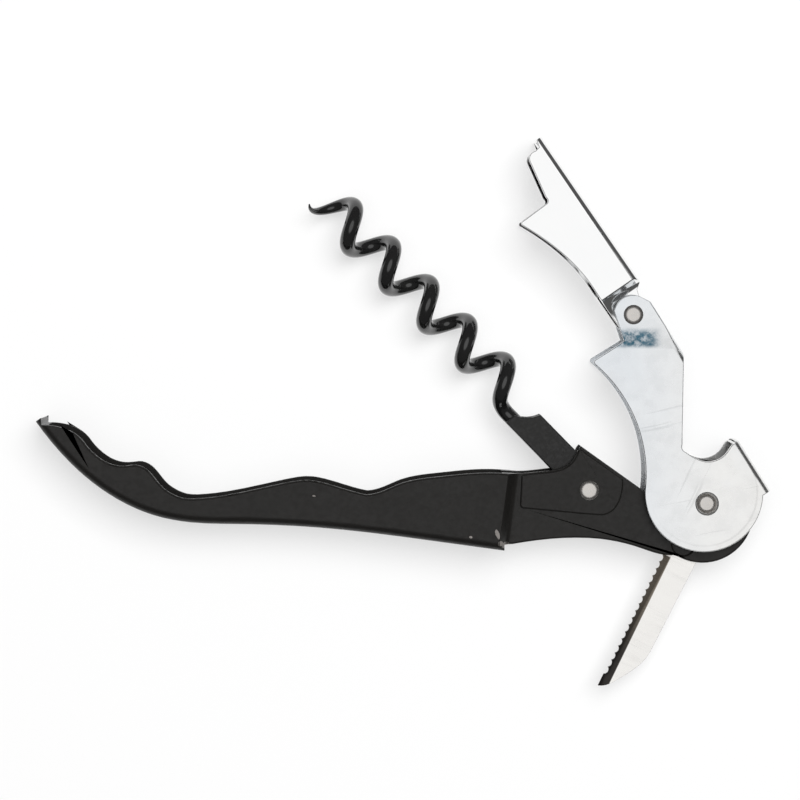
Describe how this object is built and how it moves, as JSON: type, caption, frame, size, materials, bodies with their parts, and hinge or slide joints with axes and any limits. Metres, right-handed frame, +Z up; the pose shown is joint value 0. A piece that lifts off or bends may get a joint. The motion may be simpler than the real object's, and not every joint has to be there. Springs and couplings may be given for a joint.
{
  "type": "lever corkscrew",
  "caption": "Folding lever corkscrew with a two-step lever that doubles as a cap lifter, a hinged worm and a small serrated foil blade.",
  "frame": {"origin": "on the lever rivet's axis, level with the side that the tool lies on", "axes": "+X from the grip's tip towards the hinge end, along the tool; +Y towards the side that the worm and lever fold out of; +Z up, across the tool, along all hinge pins"},
  "size_m": [0.121, 0.091, 0.0125],
  "materials": {
    "handle_coat": "satin black coating over folded sheet steel",
    "clip_coat": "matt black coating",
    "worm_coat": "glossy black low-friction coating on the wire",
    "lever_plate": "bright plating with fine scratches",
    "arm_plate": "mirror-bright plating",
    "rivet_steel": "turned and peened steel",
    "blade_steel": "satin steel, darker along the ground edge"
  },
  "bodies": {
    "handle": {"handle_shell": "handle_coat", "lever_rivet": "rivet_steel", "worm_rivet": "rivet_steel", "blade_spacer_near": "rivet_steel", "blade_spacer_far": "rivet_steel"},
    "lever_body": {"lever": "lever_plate", "arm_rivet": "rivet_steel"},
    "arm_body": {"arm": "arm_plate"},
    "worm_body": {"worm_wire": "worm_coat", "worm_clip": "clip_coat"},
    "blade_body": {"blade": "blade_steel"}
  },
  "joints": [
    {"name": "lever_hinge", "type": "hinge", "parent": "handle", "child": "lever_body", "pos_m": [0, 0, 0.00625], "axis": [0, 0, 1], "range_deg": [-50, 53]},
    {"name": "arm_hinge", "type": "hinge", "parent": "lever_body", "child": "arm_body", "pos_m": [-0.01217, 0.03112, 0.00625], "axis": [0, 0, 1], "range_deg": [-26, 2.5]},
    {"name": "worm_hinge", "type": "hinge", "parent": "handle", "child": "worm_body", "pos_m": [-0.0193, 0.0021, 0.00625], "axis": [0, 0, 1], "range_deg": [-45, 47.7]},
    {"name": "blade_hinge", "type": "hinge", "parent": "handle", "child": "blade_body", "pos_m": [0, 0, 0.00625], "axis": [0, 0, -1], "range_deg": [-50, 50]}
  ],
  "couplings": [
    {"joint": "worm_hinge", "follows": "lever_hinge", "ratio": 0.887}
  ]
}
